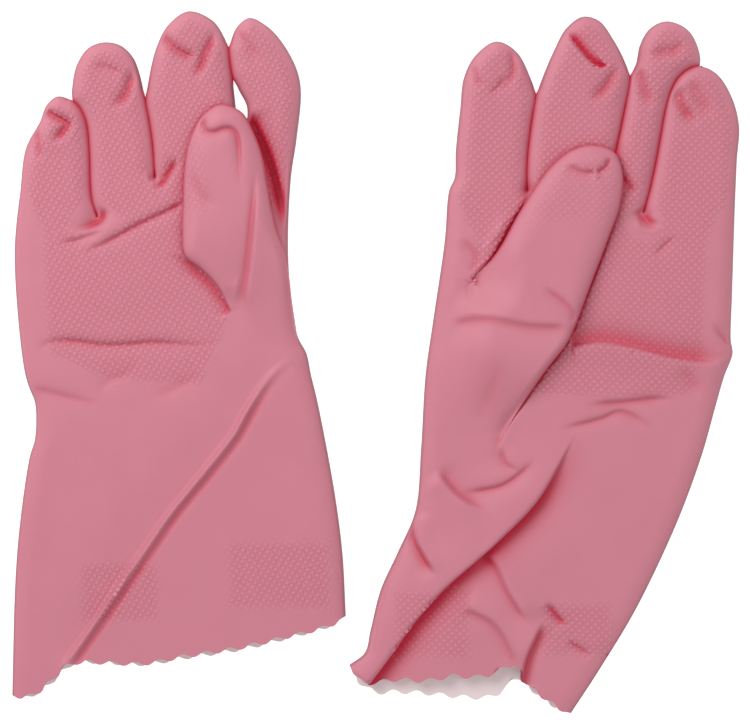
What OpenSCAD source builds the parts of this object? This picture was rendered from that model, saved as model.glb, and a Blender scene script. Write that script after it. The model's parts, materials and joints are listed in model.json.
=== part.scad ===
// A pair of household rubber gloves laid flat, palms up, fingers towards +Y and
// thumbs folded over the palms. Millimetres. Z is up, and the gloves lie on z = 0.
// Each glove is one dipped rubber film with a thin cotton flock lining bonded inside.
// Both layers are cut at the flex creases (mid finger, thumb root and wrist), where a
// thin gap lets the regions bend about a hinge line on the crease's top edge.

/* [Film and lining] */
// Thickness of the dipped rubber film
film_t = 0.6; // [0.5:0.05:0.8]
// Thickness of the flock lining
lining_t = 0.3; // [0.2:0.05:0.35]

/* [Flat glove] */
// Height of a glove's body as it lies, two layers and the air between them
body_h = 13; // [12.5:0.5:15]
// Height of a thumb as it lies on the palm
thumb_h = 11; // [10.5:0.5:12]
// Free air between a thumb and the palm under it
thumb_lift = 0.5; // [0.4:0.1:1]
// Bevel that stands for the soft rounded edge all round
edge = 3.5; // [2.5:0.5:4]
// Clear gap at each flex crease
crease_gap = 0.5; // [0.4:0.1:0.6]

/* [Flex creases] */
// Length of an index finger beyond its crease
index_bend = 38; // [34:1:40]
// Length of a middle finger beyond its crease
middle_bend = 40; // [36:1:41]
// Length of a ring finger beyond its crease
ring_bend = 37; // [30:1:40]
// Length of a little finger beyond its crease
little_bend = 33; // [28:1:36]

/* [Hidden] */

film_pink = [0.83, 0.50, 0.57];
flock_white = [0.93, 0.85, 0.85];

bond_gap = 0.05;               // keeps the bonded layers from sharing a face
lining_in = film_t + bond_gap; // depth of the lining's outer face under the film's
thumb_z = body_h + thumb_lift; // underside of a thumb
thumb_top = thumb_z + thumb_h;
root_sink = 3;                 // how far the ball of a thumb is sunk into the palm
root_depth = 6;                // how much of the ball keeps the thumb's full height
reach = 1;                     // how far an inner cutter runs past an open end
far = 400;
arc_steps = 7;                 // facets round each fingertip
$fn = 24;

// A stall is two discs and the taper between them: [root x, y, radius], [tip x, y, radius].
right_index  = [[-49.5, 80, 12.0], [-50.5, 141, 13.0]];
right_middle = [[-81.0, 82, 16.0], [-82.0, 139, 17.0]];
right_ring   = [[-111.0, 80, 12.5], [-118.5, 128, 14.5]];
right_little = [[-141.0, 70, 16.0], [-141.5, 107, 11.5]];
right_thumb  = [[-61.0, 46, 22.5], [-67.0, 98, 15.0]];

left_index  = [[51.5, 80, 15.5], [55.5, 127, 16.5]];
left_middle = [[87.5, 88, 17.0], [94.5, 137, 17.0]];
left_ring   = [[116.0, 86, 10.0], [126.5, 139, 12.5]];
left_little = [[142.5, 70, 17.0], [148.0, 116, 13.0]];
left_thumb  = [[67.0, 28, 24.5], [95.5, 81, 14.0]];

// The ball of each thumb runs down from the thumb's root to a low disc near the wrist.
right_ball = [-50, 8, 20];
left_ball = [45, -8, 19];

// Outlines of the hands, from the wrist's little-finger side round to its thumb side.
right_palm = [[-150, -45], [-158, 20], [-160, 52], [-156, 64], [-98, 83], [-62, 83], [-38, 74],
              [-36, 30], [-26, -10], [-22, -45]];
left_palm = [[19, -65], [23, -5], [33, 76], [40, 82], [68, 85], [106, 88], [152, 72], [160, 58],
             [159, 3], [145, -43]];

// Outlines of the cuffs, which run past the wrist line and past the mouth.
right_cuff = [[-150, 0], [-28, 0], [-13, -112], [-12, -150], [-162, -170], [-162, -120]];
left_cuff = [[23, -5], [159, 3], [145, -43], [87, -158], [80, -175], [-11, -165], [-11, -136],
             [-4, -127], [18, -66]];

// The finger roots begin at this height up each palm.
right_roots = [-98, 60];
left_roots = [95, 58];

// Wrist crease and cuff mouth of each glove: a point on the line, and the line's turn.
right_wrist = [-89, -26];
right_wrist_turn = 0;
right_mouth = [-88, -131.5];
right_mouth_turn = 13;
left_wrist = [85, -28];
left_wrist_turn = 10;
left_mouth = [38, -149.5];
left_mouth_turn = -8;

function xy(p) = [p[0], p[1]];
function span(stall) = xy(stall[1]) - xy(stall[0]);
function heading(stall) = atan2(span(stall)[1], span(stall)[0]);

// The crease of a finger, given its bending length, lies this far up its centre line.
function crease_at(stall, bend) =
    xy(stall[1]) - (bend - stall[1][2]) * span(stall) / norm(span(stall));

function arc(c, r, from, to) = [
    for (i = [0:arc_steps])
        let (a = from + (to - from) * i / arc_steps)
        [c[0] + r * cos(a), c[1] + r * sin(a)]
];

// Outline of a stall, drawn in by inset all round.
function stall_points(stall, inset) =
    let (open = acos((stall[0][2] - stall[1][2]) / norm(span(stall))), way = heading(stall))
    concat(arc(stall[1], stall[1][2] - inset, way - open, way + open),
           arc(stall[0], stall[0][2] - inset, way + open, way + 360 - open));

// Flat bodies with a bevelled edge, from z0 to z1, drawn in by inset all round.
module bevelled(z0, z1, inset) {
    hull() {
        translate([0, 0, z0 + inset]) linear_extrude(z1 - z0 - 2 * inset) children(0);
        translate([0, 0, z0 + inset + edge])
            linear_extrude(z1 - z0 - 2 * (inset + edge)) children(1);
    }
}

module stall_body(stall, z0, z1, inset) {
    bevelled(z0, z1, inset) {
        polygon(stall_points(stall, inset + edge));
        polygon(stall_points(stall, inset));
    }
}

module sheet_body(outline, inset) {
    bevelled(0, body_h, inset) {
        offset(delta = -inset - edge) polygon(outline);
        offset(delta = -inset) polygon(outline);
    }
}

// Everything on the far side of a line through p, in the direction of way degrees.
module beyond(p, way, from = 0) {
    translate([p[0], p[1], 0]) rotate([0, 0, way])
        translate([from, -far / 2, -far / 2]) cube([far, far, far]);
}

// The part of a finger past its crease, open at the crease.
module tip(stall, bend, inset, past) {
    intersection() {
        stall_body(stall, 0, body_h, inset);
        beyond(crease_at(stall, bend), heading(stall), crease_gap / 2 - past);
    }
}

// The part of a finger before its crease.
module base(stall, bend, inset, past) {
    intersection() {
        stall_body(stall, 0, body_h, inset);
        beyond(crease_at(stall, bend), heading(stall) + 180, crease_gap / 2 - past);
    }
}

module thumb_tip(stall, inset, past) {
    intersection() {
        stall_body(stall, thumb_z, thumb_top, inset);
        beyond(stall[0], heading(stall), crease_gap / 2 - past);
    }
}

// The ball of the thumb: it slopes from the thumb's root, from z0 up, down into the palm.
module ball(stall, foot, z0, inset, past) {
    hull() {
        intersection() {
            stall_body(stall, z0, thumb_top, inset);
            beyond(stall[0], heading(stall) + 180, crease_gap / 2 - past);
            beyond(stall[0], heading(stall), -root_depth);
        }
        translate([foot[0], foot[1], inset]) cylinder(h = body_h - 2 * inset, r = foot[2] - inset);
    }
}

module palm(outline, wrist, turn, inset, past) {
    intersection() {
        sheet_body(outline, inset);
        beyond(wrist, turn + 90, crease_gap / 2 - past);
    }
}

module cuff(outline, wrist, wrist_turn, mouth, mouth_turn, inset, past) {
    intersection() {
        sheet_body(outline, inset);
        beyond(wrist, wrist_turn - 90, crease_gap / 2 - past);
        beyond(mouth, mouth_turn + 90, -past);
    }
}

// A whole hand: the palm, the four finger bases and the ball of the thumb. Inside, the
// ball's hollow opens down into the palm's and, past the crease, into the thumb's.
module hand(g, inset, past) {
    palm(g[0], g[1], g[2], inset, past);
    for (f = g[3]) base(f[0], f[1], inset, past);
    ball(g[4], g[5], inset > 0 ? thumb_z : body_h - root_sink, inset, past);
}

right_fingers = [[right_index, index_bend], [right_middle, middle_bend],
                 [right_ring, ring_bend], [right_little, little_bend]];
left_fingers = [[left_index, index_bend], [left_middle, middle_bend],
                [left_ring, ring_bend], [left_little, little_bend]];
right_glove = [right_palm, right_wrist, right_wrist_turn, right_fingers, right_thumb, right_ball,
               right_roots];
left_glove = [left_palm, left_wrist, left_wrist_turn, left_fingers, left_thumb, left_ball,
              left_roots];

// A layer of a whole hand, kept on one side of the line where the finger roots begin.
module hand_layer(g, inset, thick, way) {
    intersection() {
        difference() {
            hand(g, inset, 0);
            hand(g, inset + thick, reach);
        }
        beyond(g[6], way);
    }
}

module palm_layer(g, inset, thick) { hand_layer(g, inset, thick, 270); }

module roots_layer(g, inset, thick) { hand_layer(g, inset, thick, 90); }

module tip_layer(stall, bend, inset, thick) {
    difference() {
        tip(stall, bend, inset, 0);
        tip(stall, bend, inset + thick, reach);
    }
}

module thumb_layer(stall, inset, thick) {
    difference() {
        thumb_tip(stall, inset, 0);
        thumb_tip(stall, inset + thick, reach);
    }
}

module right_cuff_layer(inset, thick) {
    difference() {
        cuff(right_cuff, right_wrist, right_wrist_turn, right_mouth, right_mouth_turn, inset, 0);
        cuff(right_cuff, right_wrist, right_wrist_turn, right_mouth, right_mouth_turn,
             inset + thick, reach);
    }
}

module left_cuff_layer(inset, thick) {
    difference() {
        cuff(left_cuff, left_wrist, left_wrist_turn, left_mouth, left_mouth_turn, inset, 0);
        cuff(left_cuff, left_wrist, left_wrist_turn, left_mouth, left_mouth_turn,
             inset + thick, reach);
    }
}

// Right-hand glove
module right_hand_film() { color(film_pink) palm_layer(right_glove, 0, film_t); }
module right_hand_lining() { color(flock_white) palm_layer(right_glove, lining_in, lining_t); }
module right_finger_roots_film() { color(film_pink) roots_layer(right_glove, 0, film_t); }
module right_finger_roots_lining() {
    color(flock_white) roots_layer(right_glove, lining_in, lining_t);
}
module right_cuff_film() { color(film_pink) right_cuff_layer(0, film_t); }
module right_cuff_lining() { color(flock_white) right_cuff_layer(lining_in, lining_t); }
module right_thumb_film() { color(film_pink) thumb_layer(right_thumb, 0, film_t); }
module right_thumb_lining() { color(flock_white) thumb_layer(right_thumb, lining_in, lining_t); }
module right_index_film() { color(film_pink) tip_layer(right_index, index_bend, 0, film_t); }
module right_index_lining() {
    color(flock_white) tip_layer(right_index, index_bend, lining_in, lining_t);
}
module right_middle_film() { color(film_pink) tip_layer(right_middle, middle_bend, 0, film_t); }
module right_middle_lining() {
    color(flock_white) tip_layer(right_middle, middle_bend, lining_in, lining_t);
}
module right_ring_film() { color(film_pink) tip_layer(right_ring, ring_bend, 0, film_t); }
module right_ring_lining() {
    color(flock_white) tip_layer(right_ring, ring_bend, lining_in, lining_t);
}
module right_little_film() { color(film_pink) tip_layer(right_little, little_bend, 0, film_t); }
module right_little_lining() {
    color(flock_white) tip_layer(right_little, little_bend, lining_in, lining_t);
}

// Left-hand glove
module left_hand_film() { color(film_pink) palm_layer(left_glove, 0, film_t); }
module left_hand_lining() { color(flock_white) palm_layer(left_glove, lining_in, lining_t); }
module left_finger_roots_film() { color(film_pink) roots_layer(left_glove, 0, film_t); }
module left_finger_roots_lining() {
    color(flock_white) roots_layer(left_glove, lining_in, lining_t);
}
module left_cuff_film() { color(film_pink) left_cuff_layer(0, film_t); }
module left_cuff_lining() { color(flock_white) left_cuff_layer(lining_in, lining_t); }
module left_thumb_film() { color(film_pink) thumb_layer(left_thumb, 0, film_t); }
module left_thumb_lining() { color(flock_white) thumb_layer(left_thumb, lining_in, lining_t); }
module left_index_film() { color(film_pink) tip_layer(left_index, index_bend, 0, film_t); }
module left_index_lining() {
    color(flock_white) tip_layer(left_index, index_bend, lining_in, lining_t);
}
module left_middle_film() { color(film_pink) tip_layer(left_middle, middle_bend, 0, film_t); }
module left_middle_lining() {
    color(flock_white) tip_layer(left_middle, middle_bend, lining_in, lining_t);
}
module left_ring_film() { color(film_pink) tip_layer(left_ring, ring_bend, 0, film_t); }
module left_ring_lining() {
    color(flock_white) tip_layer(left_ring, ring_bend, lining_in, lining_t);
}
module left_little_film() { color(film_pink) tip_layer(left_little, little_bend, 0, film_t); }
module left_little_lining() {
    color(flock_white) tip_layer(left_little, little_bend, lining_in, lining_t);
}

right_hand_film();
right_hand_lining();
right_finger_roots_film();
right_finger_roots_lining();
right_cuff_film();
right_cuff_lining();
right_thumb_film();
right_thumb_lining();
right_index_film();
right_index_lining();
right_middle_film();
right_middle_lining();
right_ring_film();
right_ring_lining();
right_little_film();
right_little_lining();
left_hand_film();
left_hand_lining();
left_finger_roots_film();
left_finger_roots_lining();
left_cuff_film();
left_cuff_lining();
left_thumb_film();
left_thumb_lining();
left_index_film();
left_index_lining();
left_middle_film();
left_middle_lining();
left_ring_film();
left_ring_lining();
left_little_film();
left_little_lining();
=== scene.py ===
import json
import math
import time

import bpy
import mathutils
import numpy as np
from mathutils.bvhtree import BVHTree
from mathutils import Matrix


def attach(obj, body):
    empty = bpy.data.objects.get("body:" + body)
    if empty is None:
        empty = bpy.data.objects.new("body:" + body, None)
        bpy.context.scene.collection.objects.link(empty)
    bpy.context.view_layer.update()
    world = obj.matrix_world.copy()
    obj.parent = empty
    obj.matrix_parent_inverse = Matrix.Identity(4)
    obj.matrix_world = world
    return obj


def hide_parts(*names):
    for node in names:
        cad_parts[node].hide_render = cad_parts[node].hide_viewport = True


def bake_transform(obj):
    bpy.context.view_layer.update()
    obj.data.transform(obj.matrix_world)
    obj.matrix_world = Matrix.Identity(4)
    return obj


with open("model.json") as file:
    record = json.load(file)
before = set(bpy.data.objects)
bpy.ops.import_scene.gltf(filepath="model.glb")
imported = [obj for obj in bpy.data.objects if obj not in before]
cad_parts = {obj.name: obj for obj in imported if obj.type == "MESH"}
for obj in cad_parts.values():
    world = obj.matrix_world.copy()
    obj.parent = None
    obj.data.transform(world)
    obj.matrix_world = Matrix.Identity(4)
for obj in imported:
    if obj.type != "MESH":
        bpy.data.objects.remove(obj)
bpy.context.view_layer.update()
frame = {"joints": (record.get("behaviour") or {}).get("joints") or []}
hinges = {j["name"]: j for j in frame["joints"]}
started = time.time()
mm = 0.001


def say(stage):
    print(f"{stage} ({time.time() - started:.1f} s)")


# sizes in millimetres
film = {
    "thick": 0.6,       # dipped rubber
    "bond": 0.12,
    "lining": 0.3,      # cotton flock inside it
}
weave = {
    "columns": 56,      # across each finger's strip, even
    "rowStep": 0.72,
    "fingerRows": 130,  # from the finger roots to the tips, even
    "crowd": 0.38,      # how far the columns crowd towards the edges
    "thumbColumns": 72,
}
lay = {
    "edge": 0.56,       # height of the side folds, as a share of how high the glove stands there
    "topRound": 8.5,    # how far in the palm side goes on rising
    "backRound": 8.0,
    "leastGap": 2.4,    # both films and both linings
    "swell": 0.45,
    "squeeze": 0.42,    # how far touching fingers press over each other
    "rim": 0.85,        # width of the shaded line along a side fold
}
# how high a glove stands, from its mouth to its fingertips: place up the glove, height
standing = [(-125, 7.2), (-90, 8.2), (-40, 10.0), (0, 11.4), (60, 12.5), (180, 12.5)]
thumbLay = {
    "edge": 14.2,
    "top": 20.2,
    "under": 13.2,
    "round": (4.0, 11.0),   # at the root and further up
    "sunk": 0.03,       # the thumb's rim under the palm's surface
    "deepSunk": 1.0,
}
scallop = {
    "pitch": 10.6,
    "deep": 1.0,
    "fade": 5.0,        # the waves die out up the cuff, and end here:
    "end": 30,
    "bend": 45,         # how far up the mouth's own shape is felt
    "points": 700,
}

rightGlove = {
    "side": "right",
    "wristTurn": (0, 0),        # height of the wrist crease at its two ends
    "rootHeight": (86, 84),     # where the finger rows begin, at the two sides
    "splitMouth": (0.26, 0.50, 0.74),
    "splitRoot": (0.295, 0.510, 0.795),
    "fingers": [
        {"name": "little", "edge": -0.6,
         "left": [(-73, -122.5), (-71.5, -71), (-69.5, -47), (-65, -16.5), (-62.5, -7.5), (-62.5, 8),
                  (-65, 14.5), (-67, 21.5), (-70, 46), (-71.5, 76.5), (-69, 102.5), (-66.5, 121.5),
                  (-60.2, 133.5), (-57.4, 140.5)],
         "tip": (-52.5, 144.5),
         "right": [(-47, 143.2), (-42.1, 139.4), (-39.1, 132.4), (-37.8, 119.7), (-36.9, 99), (-34.5, 91)]},
        {"name": "ring", "edge": 0.5,
         "left": [(-34.5, 91), (-36.9, 99), (-37.8, 119.7), (-39.1, 132.4), (-42.1, 139.4), (-45.6, 143.6),
                  (-45.6, 150), (-43.5, 159), (-38.5, 166)],
         "tip": (-31.5, 168.5),
         "right": [(-24, 167), (-18.5, 161.5), (-15.5, 153.5), (-13.2, 142), (-11.5, 133.5),
                   (-9.9, 122.5), (-9.3, 114), (-9, 108.5)]},
        {"name": "middle", "edge": -0.3,
         "left": [(-9, 108.5), (-9.3, 114), (-9.9, 122.5), (-11.5, 133.5), (-13.0, 142), (-11.9, 151.5),
                  (-8.5, 166), (-3, 176.5)],
         "tip": (6, 182.5),
         "right": [(16.5, 178.5), (21.5, 171.5), (23.9, 165), (24.6, 158.7), (25.5, 152.5), (27, 139.5),
                   (28.5, 125), (29, 111.5)]},
        {"name": "index", "edge": -0.7,
         "left": [(29, 111.5), (30.5, 125), (32, 139.5), (28.5, 147), (25.7, 153.5), (24.6, 158.7),
                  (24, 165), (25, 170), (27.5, 175.5)],
         "tip": (33, 179.5),
         "right": [(40, 176.5), (47, 169.5), (54, 157), (56, 147), (54, 125), (51.5, 107.5),
                   (50.5, 69.5), (54.5, 38), (58.5, 30), (60.5, 20.5), (63.5, 8), (71, -32),
                   (74.5, -59), (76, -87)]},
    ],
    "mouth": [(-73, -122.5), (-68.5, -123.5), (-60, -120), (-51, -111.5), (-47.5, -108.5),
              (-42, -107.5), (-14, -108), (3, -105), (28.5, -101), (50, -96), (69, -91), (76, -87)],
    "mouthBack": [(-73, -122.5), (-68.5, -124), (-60, -120.5), (-51, -112.5), (-46, -108.7),
                  (-38, -108), (-14, -109), (3, -106.3), (28.5, -102.4), (50, -97.2), (69, -91.6),
                  (76, -87)],
    "thumb": {
        "left": [(30.5, 32), (28.3, 40), (26, 47.5), (22.3, 54.3), (18, 61), (11.5, 67.5),
                 (4.8, 73), (3.6, 84),
                 (4, 97), (4.5, 111), (7, 124.5), (12.5, 135)],
        "crotch": 2,            # the left outline's point where the thumb parts from the palm
        "tip": (20.5, 140.2),
        "right": [(30, 136.8), (35.4, 127.7), (39.2, 117), (41.1, 106.3), (42.9, 95.6), (45.2, 85),
                  (48.7, 74.3), (50.8, 65), (52, 54), (54, 40), (55.5, 31)],
        "rise": (13, 58),       # how far it takes to rise, from its side and from its foot
    },
}
leftGlove = {
    "side": "left",
    "wristTurn": (-11.3, 11.3),
    "rootHeight": (82, 80),
    "splitMouth": (0.28, 0.52, 0.76),
    "splitRoot": (0.275, 0.560, 0.690),
    "fingers": [
        {"name": "index", "edge": -0.6,
         "left": [(-96.5, -107), (-89.5, -101.5), (-87, -91.5), (-82.5, -73.5), (-75, -57), (-67, -38),
                  (-64.5, -10.5), (-62.5, 22.5), (-59, 47.5), (-54, 82), (-52, 104.5), (-49.5, 110.5),
                  (-49, 122.5), (-47, 141.5), (-45.5, 154.5), (-40.5, 164.5)],
         "tip": (-31, 171),
         "right": [(-22, 166.5), (-16.2, 156), (-13.4, 146.5), (-15.2, 134.8), (-17, 120.3),
                   (-17.4, 111), (-17.2, 104.5)]},
        {"name": "middle", "edge": 0.4,
         "left": [(-17.2, 104.5), (-17.4, 111), (-17, 120.3), (-15.2, 134.8), (-13.2, 146.5),
                  (-10.2, 155.5), (-5.5, 166.5), (0, 176.6)],
         "tip": (7.5, 182),
         "right": [(15, 180), (21, 172), (26, 162.5), (28.3, 154.8), (25.5, 139), (23.2, 128),
                   (21.4, 120), (20, 113)]},
        {"name": "ring", "edge": -0.9,
         "left": [(20, 113), (21.4, 120), (23.2, 128), (25.5, 139), (28.5, 154.6), (31.4, 161.5),
                  (33, 169.3), (37.5, 176.8)],
         "tip": (45, 180),
         "right": [(54, 176.5), (58.9, 168.5), (59.6, 160.6), (54.5, 158.2), (49.8, 154.2), (46.6, 148),
                   (44.6, 141), (42.2, 128), (40.1, 116.7), (37.5, 105.5), (34.5, 95)]},
        {"name": "little", "edge": 0.9,
         "left": [(34.5, 95), (37.5, 105.5), (40.1, 116.7), (42.2, 128), (44.6, 141), (46.6, 148),
                  (49.8, 154.2), (54.5, 158.2)],
         "tip": (60.3, 159.6),
         "right": [(67.5, 156), (74, 145.5), (77, 133), (76, 117.5), (75, 88), (74, 58), (73.5, 38),
                   (74.3, 32), (70.5, 21.5), (66.5, 7.5), (60.5, -14), (50, -42.5), (32, -81),
                   (15, -109.5), (2.5, -128.5)]},
    ],
    "mouth": [(-96.5, -107), (-91.5, -113.5), (-84.5, -115), (-78, -113.5), (-60.5, -113.5),
              (-50.5, -111.5), (-40, -112), (-32.5, -110.5), (-23.5, -106.5), (-17, -115.5),
              (-10, -121), (-2.5, -126.5), (2.5, -128.5)],
    "mouthBack": [(-96.5, -107), (-92.5, -114.5), (-85, -119.5), (-76, -119.5), (-64.5, -120),
                  (-54, -121), (-43, -122), (-32.5, -121.5), (-26.5, -117.5), (-22.5, -113),
                  (-16, -117.5), (-9.5, -122.5), (-2.5, -127), (2.5, -128.5)],
    "thumb": {
        "left": [(-59, -6), (-57.5, 20), (-56, 42), (-50.5, 58), (-41.5, 65.3), (-31, 77),
                 (-22, 93), (-14, 106), (-6.5, 115.5), (2, 122)],
        "crotch": 4,
        "tip": (11.6, 124.3),
        "right": [(21, 121), (24.6, 112.5), (23.6, 98), (17.8, 81.5), (10, 61), (4, 45),
                  (0, 36.5), (-8.5, 25.5), (-14.5, 17), (-20.5, 8), (-25.5, 0), (-28.5, -6.5)],
        "rise": (24, 42),
    },
}


spanPoints = 14     # points between two of an outline's own


def throughPoints(points, perSpan=spanPoints):
    # a smooth line through the points, closer where they are closer
    p = np.array(points, float)
    dt = np.maximum(np.hypot(*np.diff(p, axis=0).T), 1e-6) ** 0.5
    slope = np.diff(p, axis=0) / dt[:, None]
    inner = slope[:-1] - (p[2:] - p[:-2]) / (dt[:-1] + dt[1:])[:, None] + slope[1:]
    m = np.vstack([slope[:1], inner, slope[-1:]])
    t = np.linspace(0, 1, perSpan, endpoint=False)[:, None]
    spans = []
    for i in range(len(p) - 1):
        spans.append((2 * t**3 - 3 * t**2 + 1) * p[i] + (t**3 - 2 * t**2 + t) * m[i] * dt[i]
                     + (3 * t**2 - 2 * t**3) * p[i + 1] + (t**3 - t**2) * m[i + 1] * dt[i])
    return np.vstack([*spans, p[-1:]])


def lengthsOf(line):
    return np.concatenate([[0], np.cumsum(np.hypot(*np.diff(line, axis=0).T))])


def alongLine(line, at):
    run = lengthsOf(line)
    return np.stack([np.interp(at, run, line[:, 0]), np.interp(at, run, line[:, 1])], -1)


def nearest(points, line):
    # distance to the line, which side (left is +1), and how far along it
    span = np.diff(line, axis=0)
    length = np.maximum(np.hypot(*span.T), 1e-9)
    run = np.concatenate([[0], np.cumsum(length)])
    gap = np.full(len(points), 1e9)
    side = np.ones(len(points))
    along = np.zeros(len(points))
    for lo in range(0, len(points), 12000):
        q = points[lo:lo + 12000]
        near = ((q[:, None, 0] - line[None, :, 0]) ** 2
                + (q[:, None, 1] - line[None, :, 1]) ** 2).argmin(1)
        for back in (1, 0):
            s = np.clip(near - back, 0, len(span) - 1)
            w = q - line[s]
            t = np.clip((w * span[s]).sum(1) / length[s] ** 2, 0, 1)
            r = w - span[s] * t[:, None]
            d = np.hypot(r[:, 0], r[:, 1])
            better = d < gap[lo:lo + 12000]
            here = np.arange(lo, lo + len(q))[better]
            gap[here] = d[better]
            side[here] = np.where((span[s, 0] * w[:, 1] - span[s, 1] * w[:, 0])[better] >= 0, 1, -1)
            along[here] = (run[s] + t * length[s])[better]
    return gap, side, along


def ease(t):
    t = np.clip(t, 0, 1)
    return t * t * (3 - 2 * t)


def quarter(t):
    # a quarter round, from 0 at the edge to 1
    return np.sqrt(np.maximum(1 - (1 - np.clip(t, 0, 1)) ** 2, 0))


def evenCount(x):
    return max(2, 2 * int(round(x / 2)))


# creases and folds, as strokes: wide and deep in millimetres;
# ends: how much of the stroke fades in and out; some strokes also weigh and spread the painted shade in their
# folds
rightCreases = [
    # wrist and palm
    {"kind": "groove", "wide": 2.2, "deep": 1.5, "ends": (0.25, 0.4),
     "path": [(-64, 29), (-57.5, 34), (-53, 35.5), (-44, 35.5), (-33, 34), (-22, 34), (-9.5, 35),
              (11, 34), (24, 36)]},
    {"kind": "groove", "wide": 3.0, "deep": 0.9, "ends": (0.2, 0.5),
     "path": [(-65, 15), (-54.5, 12.5), (-44, 10), (-30, 7)]},
    {"kind": "groove", "wide": 3.5, "deep": 0.8, "ends": (0.4, 0.4),
     "path": [(-15, 28), (-22, 20.5), (-29.5, 17), (-36, 9)]},
    {"kind": "groove", "wide": 4.0, "deep": 0.8, "ends": (0.4, 0.4),
     "path": [(14, 22), (0, 14), (-12, 9)]},
    {"kind": "groove", "wide": 1.6, "deep": 1.6, "ends": (0.3, 0.1),
     "path": [(-42, 73.5), (-29, 80), (-16.5, 87), (-6, 92), (5, 97.5)]},
    {"kind": "groove", "wide": 1.5, "deep": 1.1, "ends": (0.35, 0.35),
     "path": [(-52, 79), (-42.5, 80.5), (-37, 82.5), (-29, 85)]},
    {"kind": "groove", "wide": 2.2, "deep": 2.6, "ends": (0.25, 0.5),
     "path": [(-30, 95), (-33.5, 89), (-38, 86.5), (-46, 85)]},
    {"kind": "groove", "wide": 2.0, "deep": 2.8, "ends": (0.3, 0.35),
     "path": [(2, 117), (-2, 111), (-5.5, 105.5), (-10, 102)]},
    {"kind": "ridge", "wide": 1.8, "deep": 1.0, "ends": (0.3, 0.3),
     "path": [(-13, 111), (-11, 106.3), (-7.5, 105.6), (-5, 109)]},
    # long fold of the cuff
    {"kind": "pleat", "wide": 1.5, "high": 1.7, "dip": 0.9, "reach": 11, "low": 1.0, "red": 0.5,
     "ends": (0.06, 0.22),
     "path": [(-51, -112), (-37.5, -93), (-26.5, -77), (-14, -59), (-1.5, -41), (14, -22),
              (26.5, -6), (32, 4), (42, 19), (55, 31)], "flip": False},
    {"kind": "step", "wide": 0.9, "high": 0.4, "highReach": 4, "low": 2.2, "lowReach": 4.5, "shadeReach": 1.9,
     "red": 0.75, "ends": (0.4, 0.06),
     "path": [(-4, 75), (4.5, 72.2), (11.3, 66.6), (17.6, 60.4), (22, 53.8), (25.6, 47.6)]},
    {"kind": "groove", "wide": 3.9, "deep": 5.2, "red": 2.3, "lift": 0.0, "ends": (0.1, 0.4),
     "path": [(33, 137.5), (36, 130), (39.6, 122.3), (42.3, 115), (44.6, 107), (46.2, 99), (47.6, 90),
              (49.2, 79)]},
    # fingertips
    {"kind": "groove", "crisp": 0.2, "wide": 1.6, "deep": 2.6, "ends": (0.15, 0.3),
     "path": [(-57, 139), (-53.5, 136), (-49, 133.6), (-47.2, 132), (-50, 127.5), (-54.5, 122.5)]},
    {"kind": "groove", "wide": 2.2, "deep": 1.6, "ends": (0.3, 0.4),
     "path": [(-61, 131.5), (-60.5, 124), (-59, 114)]},
    {"kind": "groove", "crisp": 0.2, "wide": 1.8, "deep": 2.4, "ends": (0.3, 0.35),
     "path": [(-18.6, 157), (-19.6, 150), (-22, 144), (-28, 138)]},
    {"kind": "groove", "wide": 2.4, "deep": 0.9, "ends": (0.4, 0.3),
     "path": [(-38, 158), (-30, 157), (-22, 154)]},
    {"kind": "groove", "crisp": 0.2, "wide": 1.7, "deep": 2.3, "ends": (0.3, 0.25),
     "path": [(-6, 174), (-1.5, 167.5), (3.5, 164), (10.5, 161)]},
    {"kind": "groove", "crisp": 0.2, "wide": 1.6, "deep": 2.4, "ends": (0.3, 0.35),
     "path": [(18.8, 174), (16.6, 168.5), (14, 163), (11.5, 156), (9, 150)]},
    {"kind": "groove", "crisp": 0.2, "wide": 2.2, "deep": 1.1, "ends": (0.35, 0.4),
     "path": [(26, 176), (32, 168), (40, 157)]},
]
rightThumbCreases = [
    {"kind": "groove", "wide": 1.7, "deep": 1.9, "ends": (0.12, 0.5),
     "path": [(13, 138), (13.3, 132), (14.6, 128.4), (18, 127.6), (22, 129), (25.5, 129),
              (28.2, 126.5), (29.2, 119), (29.6, 109), (31, 98)]},
    {"kind": "step", "wide": 1.5, "high": 1.3, "highReach": 7, "low": 1.0, "lowReach": 6,
     "ends": (0.25, 0.35),
     "path": [(30, 42), (32, 58.5), (34, 72.5), (35.4, 86), (36.5, 99.5), (37.4, 114)], "flip": True},
    {"kind": "ridge", "wide": 1.6, "deep": 0.7, "ends": (0.4, 0.4),
     "path": [(28.6, 66), (27.6, 58), (26.8, 50)]},
    {"kind": "groove", "crisp": 0.3, "wide": 1.1, "deep": 0.7, "red": 0.5, "ends": (0.3, 0.3),
     "path": [(29.2, 48), (32.2, 69.4), (33.8, 85), (35.6, 102.8), (36.6, 113)]},
    {"kind": "groove", "wide": 3.5, "deep": 0.9, "ends": (0.4, 0.4),
     "path": [(8, 112), (12, 101), (20, 93)]},
]
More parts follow.
